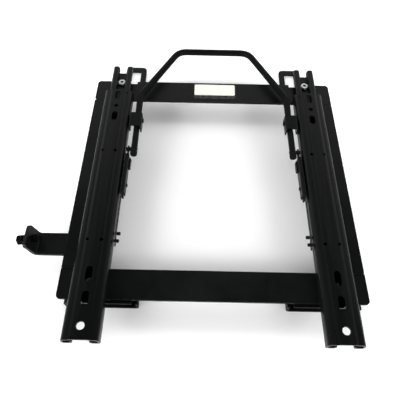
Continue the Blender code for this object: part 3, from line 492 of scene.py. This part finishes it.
def weld_tree(finish):
    """A rippled weld bead along each line, a little uneven, with rounded ends."""
    tree, size = shape_tree("weld_bead", bead_sizes)
    lines = size["Geometry"].node("GeometryNodeMeshToCurve", {0: size["Geometry"]})
    fine = lines.node("GeometryNodeResampleCurve", {0: lines, "Length": size["Ripple"] / ripple_steps},
                      mode="LENGTH")
    along = fine.node("GeometryNodeSplineParameter", {}, out="Length")
    share = fine.node("GeometryNodeSplineParameter", {}, out="Factor")
    swing = along * math.pi / size["Ripple"]
    wave = swing.node("ShaderNodeMath", {0: swing}, operation="SINE")
    ends = ramp(share, 0.0, end_share) * ramp(share, 1.0 - end_share, 1.0, 1.0, 0.0)
    place = fine.node("GeometryNodeInputPosition", {})
    bumpy = {"Vector": place, "Scale": lump_density, "Detail": 1.0}
    lumps = place.node("ShaderNodeTexNoise", bumpy, out="Fac")
    ripples = 1.0 - size["Ripple Height"] + size["Ripple Height"] * wave * wave
    swell = (ripples + lumps * lump_height) * (end_height + ends * (1.0 - end_height))
    swaying = {"Vector": place, "Scale": wander_density, "Detail": 1.0}
    drift = place.node("ShaderNodeTexNoise", swaying, out="Color")
    shift = place.node("ShaderNodeVectorMath", {0: drift, 1: (0.5, 0.5, 0.5)}, operation="SUBTRACT")
    moved = place.node("ShaderNodeVectorMath", {0: shift, "Scale": size["Wander"]}, operation="SCALE")
    wavy = fine.node("GeometryNodeSetPosition", {0: fine, "Offset": moved})
    ring = {"Resolution": bead_sides, "Radius": size["Width"] / 2}
    round_outline = fine.node("GeometryNodeCurvePrimitiveCircle", ring)
    squeeze = fine.node("ShaderNodeCombineXYZ", {"X": size["Height"] / size["Width"], "Y": 1.0, "Z": 1.0})
    outline = fine.node("GeometryNodeTransform", {0: round_outline, "Scale": squeeze})
    bead = wavy.node("GeometryNodeCurveToMesh", {0: wavy, 1: outline, "Scale": swell, "Fill Caps": True})
    smooth = bead.node("GeometryNodeSetShadeSmooth", {0: bead})
    close_tree(smooth, finish)
    return tree


weld_paint = black_paint("weld_paint", sheen=0.38)
weld_inset = 3 * mm
half_gap = 0.15 * mm
weld_lines = []
for side in sides:
    plate_low, plate_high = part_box(f"{side}_side_plate")
    for joint_y in (plate_low.y - half_gap, plate_high.y + half_gap):
        weld_lines.append(((plate_low.x + weld_inset, joint_y, plate_low.z),
                           (plate_high.x - weld_inset, joint_y, plate_low.z)))
    foot_low, foot_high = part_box(f"{side}_front_foot")
    for edge_x in (foot_low.x, foot_high.x):
        weld_lines.append(((edge_x, foot_low.y + weld_inset, foot_high.z),
                           (edge_x, bar_high.y - weld_inset, foot_high.z)))
    foot_low, foot_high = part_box(f"{side}_rear_foot")
    for edge_x in (foot_low.x, foot_high.x):
        weld_lines.append(((edge_x, foot_low.y + 2 * weld_inset, foot_high.z),
                           (edge_x, foot_high.y - weld_inset, foot_high.z)))
weld_mesh = line_mesh("frame_weld_lines", weld_lines)
weld_beads = grow("frame_weld_beads", weld_mesh, weld_tree(weld_paint), bead_sizes)
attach(weld_beads, "floor_frame")

# Flush welds close the tops of the rear joints, from the plates' outer edges to the rails.
flush_sizes = {**bead_sizes, "Width": 3.6 * mm, "Height": 0.7 * mm, "Ripple": 4 * mm, "Ripple Height": 0.1}
flush_inset = 1.5 * mm
flush_sink = 0.25 * mm
rail_gap = 1.0 * mm
flush_lines = []
for side in sides:
    plate_low, plate_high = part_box(f"{side}_side_plate")
    rail_low, rail_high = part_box(f"{side}_upper_rail")
    if side == "left":
        ends = (plate_low.x + flush_inset, rail_low.x - rail_gap)
    else:
        ends = (rail_high.x + rail_gap, plate_high.x - flush_inset)
    flush_lines.append([(end_x, plate_low.y - half_gap, plate_high.z - flush_sink) for end_x in ends])
flush_mesh = line_mesh("flush_weld_lines", flush_lines)
flush_beads = grow("flush_weld_beads", flush_mesh, weld_tree(weld_paint), flush_sizes)
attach(flush_beads, "floor_frame")


# The side arm.
# A steel strap under the left plate with its end turned up and leaning out, painted with
# the frame. It takes a belt or a slide bar on a blacked bolt, which a nut holds.
arm_paint = black_paint("arm_paint", sheen=0.32, shine=0.34)
finished_copy("side_arm", "side_arm_painted", arm_paint, "black_paint", sheet_edge)
arm_low, arm_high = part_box("side_arm")
plate_low, plate_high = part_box("left_side_plate")
arm_welds = []
for edge_y in (arm_low.y, arm_high.y):
    arm_welds.append(((plate_low.x + weld_inset, edge_y, plate_low.z),
                      (arm_high.x - weld_inset, edge_y, plate_low.z)))
arm_mesh = line_mesh("arm_weld_lines", arm_welds)
arm_beads = grow("arm_weld_beads", arm_mesh, weld_tree(weld_paint), bead_sizes)
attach(arm_beads, "floor_frame")


def dark_steel(name, colour, roughness, metal, shine):
    """Phosphated or blacked steel with a mottled crystal look and oily patches."""
    finish, shader, place = begin_finish(name)
    crystal = grain(place, 0.4 * mm, 3)
    oil = grain(place, 5 * mm, 2)
    lighter = [channel * 1.8 for channel in colour]
    lead(shader, Base_Color=tint(ramp(crystal, 0.35, 0.65), colour, lighter), Metallic=metal,
         Roughness=ramp(oil, 0.35, 0.65, roughness - 0.1, roughness + 0.06), Specular_IOR_Level=shine)
    emboss(shader, crystal, 0.02 * mm, 0.4)
    return finish


bolt_steel = dark_steel("oil_blacked_steel", (0.0022, 0.0022, 0.0025), 0.5, metal=0.1, shine=0.03)
bolt_shape = joined_copy("side_arm_bolt")
bolt_crown = min(bolt_shape.faces, key=lambda face: face.calc_center_median().x)
crown_middle = bolt_crown.calc_center_median()
bolt_axis = bolt_crown.normal.copy()
head_height = 9 * mm
collar_radius = 4.2 * mm
head_swell = 0.14
head_slack = 0.1 * mm
collar_slack = 0.4 * mm
crown_rounding = 1.6 * mm
for vertex in bolt_shape.verts:
    depth = (crown_middle - vertex.co).dot(bolt_axis)
    outward = vertex.co + bolt_axis * depth - crown_middle
    if depth < head_height + head_slack and outward.length > collar_radius + collar_slack:
        vertex.co += outward * head_swell
bmesh.ops.bevel(bolt_shape, geom=list(bolt_crown.edges), offset=crown_rounding, segments=4, profile=0.5,
                affect="EDGES")
stand_in(bolt_shape, "side_arm_bolt", "arm_bolt_blacked", bolt_steel, "dark_steel", 0.5 * mm, 3)
finished_copy("side_arm_nut", "arm_nut_blacked", bolt_steel, "dark_steel", 0.3 * mm)


# The rails.
# Each is rolled from steel strip: a channel below, screwed to the bars, and a cap above that
# hooks under the channel's lips and slides on balls. Rolling leaves faint lines along them.
rail_paint = black_paint("rail_paint", drawn=(0.25, 5, 0.25), sheen=0.22)
rail_edge = 0.4 * mm
small_hole_ahead = 117.3 * mm
small_hole_behind = 119.3 * mm
small_hole_offset = 8.6 * mm
small_hole_radius = 1.6 * mm
inner_widening = 0.8 * mm
outer_widening = 0.4 * mm


def pierced_copy(node, inward):
    """Return a joined copy of a cap rail with its small web holes opened out, the inner ones more."""
    rail_low, rail_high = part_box(node)
    shape = joined_copy(node)
    for hole_y in (rail_high.y - small_hole_ahead, rail_low.y + small_hole_behind):
        for offset, widening in ((small_hole_offset, inner_widening), (-small_hole_offset, outer_widening)):
            centre = Vector(((rail_low.x + rail_high.x) / 2 + inward * offset, hole_y))
            for vertex in shape.verts:
                outward = vertex.co.xy - centre
                if outward.length < small_hole_radius + 0.2 * mm:
                    vertex.co.xy += outward.normalized() * widening
    return shape


for side, inward in zip(sides, (1, -1)):
    finished_copy(f"{side}_lower_rail", f"{side}_lower_rail_painted", rail_paint, "black_paint", rail_edge)
    stand_in(pierced_copy(f"{side}_upper_rail", inward), f"{side}_upper_rail", f"{side}_upper_rail_painted",
             rail_paint, "black_paint", rail_edge)


# The rail screws.
# Zinc-plated button screws with a six-sided socket, one at each end of a lower rail.
zinc_bright = (0.96, 0.96, 0.96)
zinc_grey = (0.84, 0.85, 0.86)
socket_shade = (0.02, 0.02, 0.02)


def zinc_plate(name):
    """Bright zinc plate with fine spangle, tool marks and a little grey bloom, and painted shade inside the
    socket.
    """
    finish, shader, place = begin_finish(name)
    bloom = grain(place, 3 * mm, 3)
    spangle = grain(place, 0.5 * mm, 2)
    painted_socket_shade = place.node("ShaderNodeAttribute", {}, out="Fac", attribute_name="painted_socket_shade")
    plate = tint(ramp(bloom, 0.35, 0.7), zinc_bright, zinc_grey)
    colour = tint(painted_socket_shade, plate, socket_shade)
    lead(shader, Base_Color=colour, Metallic=0.05, Roughness=ramp(spangle, 0.3, 0.7, 0.3, 0.45))
    emboss(shader, spangle, 0.02 * mm, 0.4)
    return finish


screw_sizes = {"Head Radius": 5.3 * mm, "Head Height": 4.6 * mm, "Head Edge": 3.4 * mm,
               "Key Radius": 3.2 * mm, "Key Depth": 3.2 * mm,
               "Shank Radius": 2.9 * mm, "Shank Length": 10.1 * mm,
               "Tail Radius": 4.2 * mm, "Tail Height": 1.2 * mm}
head_sides = 48
dome_rings = 40
key_sides = 6
shank_sides = 24


def screw_tree(finish):
    """A domed head with a six-sided socket, a shank and a closed end, on each point."""
    tree, size = shape_tree("socket_screw", screw_sizes)
    start = size["Geometry"]
    radius = size["Head Radius"]
    height = size["Head Height"]
    rise = height - size["Head Edge"]
    ball_radius = (radius * radius + rise * rise) / (rise * 2)

    def drum(sides_around, wide, deep, middle_z):
        """Return a closed drum round the screw's axis."""
        made = {"Vertices": sides_around, "Radius": wide, "Depth": deep}
        raw = start.node("GeometryNodeMeshCylinder", made)
        lift = start.node("ShaderNodeCombineXYZ", {"Z": middle_z})
        return start.node("GeometryNodeTransform", {0: raw, "Translation": lift})

    dome = {"Segments": head_sides, "Rings": dome_rings, "Radius": ball_radius}
    raw_ball = start.node("GeometryNodeMeshUVSphere", dome)
    lift = start.node("ShaderNodeCombineXYZ", {"Z": height - ball_radius})
    ball = start.node("GeometryNodeTransform", {0: raw_ball, "Translation": lift})
    blank = start.node("GeometryNodeMeshBoolean", {1: [drum(head_sides, radius, height, height / 2), ball]},
                       operation="INTERSECT", solver="EXACT")
    key = drum(key_sides, size["Key Radius"], size["Key Depth"] * 2, height)
    head = start.node("GeometryNodeMeshBoolean", {0: blank, 1: key}, operation="DIFFERENCE", solver="EXACT")
    shank = drum(shank_sides, size["Shank Radius"], size["Shank Length"], size["Shank Length"] * -0.5)
    tail = drum(shank_sides, size["Tail Radius"], size["Tail Height"],
                (size["Shank Length"] + size["Tail Height"] / 2) * -1.0)
    screw = start.node("GeometryNodeJoinGeometry", {0: [head, shank, tail]})
    # The socket's inside, below its rim, is marked for painted shade.
    place = start.node("GeometryNodeInputPosition", {})
    across = [place.node("ShaderNodeSeparateXYZ", {0: place}, out=word) for word in "XYZ"]
    from_axis = (across[0] * across[0] + across[1] * across[1]) ** 0.5
    inside = ramp(from_axis / size["Key Radius"], 1.01, 1.05, 1.0, 0.0) * ramp(across[2] / height, 0.0, 0.02)
    below_rim = ramp(across[2] / height, 0.8, 0.88, 1.0, 0.0)
    marked = start.node("GeometryNodeStoreNamedAttribute",
                        {0: screw, "Name": "painted_socket_shade", "Value": inside * below_rim}, data_type="FLOAT",
                        domain="POINT")
    placed = start.node("GeometryNodeInstanceOnPoints", {"Points": start, "Instance": marked})
    close_tree(placed, finish)
    return tree


zinc = zinc_plate("zinc_plate")
screw_nodes = [f"{side}_{place_word}_rail_rivet" for side in sides for place_word in ("front", "rear")]
screw_seats = []
for node in screw_nodes:
    screw_low, screw_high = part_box(node)
    screw_middle = (screw_low + screw_high) / 2
    screw_seats.append((screw_middle.x, screw_middle.y, screw_high.z - screw_sizes["Head Height"]))
seat_mesh = bpy.data.meshes.new("screw_seats")
seat_mesh.from_pydata(screw_seats, [], [])
rail_screws = soften(grow("rail_screws", seat_mesh, screw_tree(zinc), screw_sizes), 0.2 * mm)
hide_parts(*screw_nodes)
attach(rail_screws, "floor_frame")


# The handle.
# One painted steel rod, bent four times, that lies along both rails and crosses in front.
# Each rear end wears a pressed-on plastic plug.
handle_paint = black_paint("handle_paint", sheen=0.34, shine=0.08)
handle_rod = finished_copy("handle_bar", "handle_rod_painted", handle_paint, "black_paint", 0.3 * mm, 2, 50)

# The coat is 0.55 mm thicker ahead of the saddles, where the real rod measures wider than at its pivots.
saddle_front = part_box("left_handle_saddle")[1].y
coat_start = saddle_front + 2 * mm
coat_end = saddle_front + 12 * mm
coat_depth = 0.55 * mm
outward = [vertex.normal.copy() for vertex in handle_rod.data.vertices]
for vertex, direction in zip(handle_rod.data.vertices, outward):
    share = min(max((vertex.co.y - coat_start) / (coat_end - coat_start), 0), 1)
    vertex.co += direction * coat_depth * share


def moulded_plastic(name, colour, roughness):
    """Matt moulded plastic with a fine spark-eroded grain."""
    finish, shader, place = begin_finish(name)
    pits = grain(place, 0.35 * mm, 2)
    patch = grain(place, 6 * mm, 2)
    lighter = [channel * 1.7 + 0.001 for channel in colour]
    lead(shader, Base_Color=tint(ramp(patch, 0.35, 0.7) * 0.5, colour, lighter),
         Roughness=ramp(pits, 0.3, 0.7, roughness - 0.06, roughness + 0.08), Specular_IOR_Level=0.15)
    emboss(shader, pits, 0.03 * mm, 0.5)
    return finish


cap_plastic = moulded_plastic("cap_plastic", (0.003, 0.003, 0.0035), 0.6)
for side in sides:
    finished_copy(f"{side}_handle_cap", f"{side}_handle_plug", cap_plastic, "cap_plastic", 0.5 * mm, 3)


# The saddles, pins and lock gear.
# Folded sheet brackets on the inner wall of each cap rail carry the handle and the lock
# lever. They are painted with the rail; the pins and levers are dark phosphated steel.
phosphate = dark_steel("phosphated_steel", (0.006, 0.006, 0.007), 0.42, metal=0.2, shine=0.12)
wire_steel = dark_steel("oiled_spring_steel", (0.05, 0.05, 0.055), 0.3, metal=0.6, shine=0.3)
bracket_paint = black_paint("bracket_paint", sheen=0.3, shine=0.12)
for side in sides:
    finished_copy(f"{side}_handle_saddle", f"{side}_saddle_painted", bracket_paint, "black_paint", 0.4 * mm)
    finished_copy(f"{side}_lock_housing", f"{side}_housing_painted", bracket_paint, "black_paint", 0.35 * mm)
    for word, name in (("handle_pin", "pivot_pin"), ("link_pin", "link_stud"), ("lever_rivet", "lever_stud"),
                       ("front_spring_peg", "front_peg"), ("rear_spring_peg", "rear_peg")):
        finished_copy(f"{side}_{word}", f"{side}_{name}", phosphate, "dark_steel", 0.2 * mm)
    finished_copy(f"{side}_lock_lever", f"{side}_lever_blank", phosphate, "dark_steel", 0.2 * mm)
    finished_copy(f"{side}_lock_spring", f"{side}_spring_wire", wire_steel, "spring_steel", 0.1 * mm, 2, 50)


# The ball cages.
# Strips of natural nylon inside each cap rail, with polished steel balls pressed into them
# in two rows. They are hidden while the seat is on, and show only at the open rail ends.
ball_pitch = 42 * mm
first_ball = 9 * mm
ball_reach = 1.7 * mm


def caged_balls(name, start):
    """Milky nylon with bright steel balls at an even pitch along the cage."""
    finish, shader, place = begin_finish(name)
    along = place.node("ShaderNodeSeparateXYZ", {0: place}, out="Y")
    steps = (along - (start + first_ball - ball_pitch / 2)) / ball_pitch
    share = steps.node("ShaderNodeMath", {0: steps}, operation="FRACT")
    away = abs(share - 0.5) * ball_pitch
    steel = ramp(away, ball_reach, ball_reach + 0.1 * mm, 1.0, 0.0)
    cloud = grain(place, 4 * mm, 3)
    speck = grain(place, 0.6 * mm, 2)
    nylon = tint(ramp(cloud, 0.35, 0.65), (0.60, 0.58, 0.50), (0.50, 0.48, 0.41))
    bright = tint(ramp(speck, 0.4, 0.7), (0.75, 0.75, 0.76), (0.62, 0.62, 0.63))
    colour = tint(steel, nylon, bright)
    lead(shader, Base_Color=colour, Metallic=steel, Roughness=ramp(cloud, 0.3, 0.7, 0.4, 0.5) - steel * 0.25)
    emboss(shader, speck, 0.01 * mm, 0.3)
    return finish


for side in sides:
    cage_finish = caged_balls(f"{side}_caged_balls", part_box(f"{side}_inner_ball_cage")[0].y)
    for flank in ("inner", "outer"):
        finished_copy(f"{side}_{flank}_ball_cage", f"{side}_{flank}_cage", cage_finish, "ball_cage",
                      0.1 * mm, 1, 50)


# The label.
# A blank label of coated paper under clear film, stuck on the front bar. The film is longer
# than the paper and leaves a clear, slightly milky strip behind it.
def label_paper(name):
    """Warm white coated paper with faint fibre, light handling marks and uneven gloss."""
    finish, shader, place = begin_finish(name)
    fibre = grain(place, 0.5 * mm, 3)
    patch = grain(place, 14 * mm, 2)
    clean = tint(ramp(fibre * 0.5 + patch * 0.5, 0.35, 0.65), (0.90, 0.90, 0.84), (0.86, 0.86, 0.80))
    smudge = ramp(grain(place, 5 * mm, 4), 0.56, 0.72) * 0.12
    lead(shader, Base_Color=tint(smudge, clean, (0.62, 0.61, 0.55)),
         Roughness=ramp(patch, 0.3, 0.7, 0.38, 0.5))
    emboss(shader, fibre, 0.01 * mm, 0.3)
    return finish


def clear_film(name):
    """Clear film seen on black paint: a smooth skin with a milky haze and tiny bubbles."""
    finish, shader, place = begin_finish(name)
    haze = grain(place, 7 * mm, 3)
    bubble = ramp(grain(place, 1.1 * mm, 1), 0.66, 0.74)
    dark = tint(ramp(haze, 0.35, 0.65), (0.016, 0.016, 0.017), (0.026, 0.026, 0.027))
    lead(shader, Base_Color=tint(bubble * 0.4, dark, (0.09, 0.09, 0.09)),
         Roughness=ramp(haze, 0.3, 0.7, 0.2, 0.32))
    emboss(shader, bubble, 0.02 * mm, 0.4)
    return finish


corner_steps = 6


def rounded_sheet(name, low_corner, high_corner, corner, finish):
    """Return a thin closed sheet with rounded corners, between two corners of its box."""
    outline = []
    for quarter, (side_x, side_y) in enumerate(((1, 1), (0, 1), (0, 0), (1, 0))):
        centre_x = high_corner.x - corner if side_x else low_corner.x + corner
        centre_y = high_corner.y - corner if side_y else low_corner.y + corner
        for step in range(corner_steps + 1):
            angle = math.radians(90 * (quarter + step / corner_steps))
            outline.append((centre_x + corner * math.cos(angle), centre_y + corner * math.sin(angle)))
    shape = bmesh.new()
    base = [shape.verts.new((x, y, low_corner.z)) for x, y in outline]
    bottom = shape.faces.new(base)
    lifted = bmesh.ops.extrude_face_region(shape, geom=[bottom])
    tops = [item for item in lifted["geom"] if isinstance(item, bmesh.types.BMVert)]
    bmesh.ops.translate(shape, verts=tops, vec=(0, 0, high_corner.z - low_corner.z))
    bmesh.ops.recalc_face_normals(shape, faces=shape.faces)
    mesh = bpy.data.meshes.new(name)
    shape.to_mesh(mesh)
    shape.free()
    mesh.materials.append(finish)
    return soften(settle(name, mesh), 0.05 * mm)


label_low, label_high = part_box("blank_label")
film_tail = 6.5 * mm
film_thickness = 0.1 * mm
film_corner = 2.4 * mm
paper_corner = 2.2 * mm
paper_inset = Vector((0.9, 0.9, 0)) * mm
film_low = Vector((label_low.x, label_low.y - film_tail, bar_high.z))
film_high = Vector((label_high.x, label_high.y, label_low.z + film_thickness))
film = rounded_sheet("label_film", film_low, film_high, film_corner, clear_film("clear_film"))
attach(film, "floor_frame")
paper = rounded_sheet("label_paper", label_low + paper_inset, label_high - paper_inset, paper_corner,
                      label_paper("label_paper"))
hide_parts("blank_label")
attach(paper, "floor_frame")
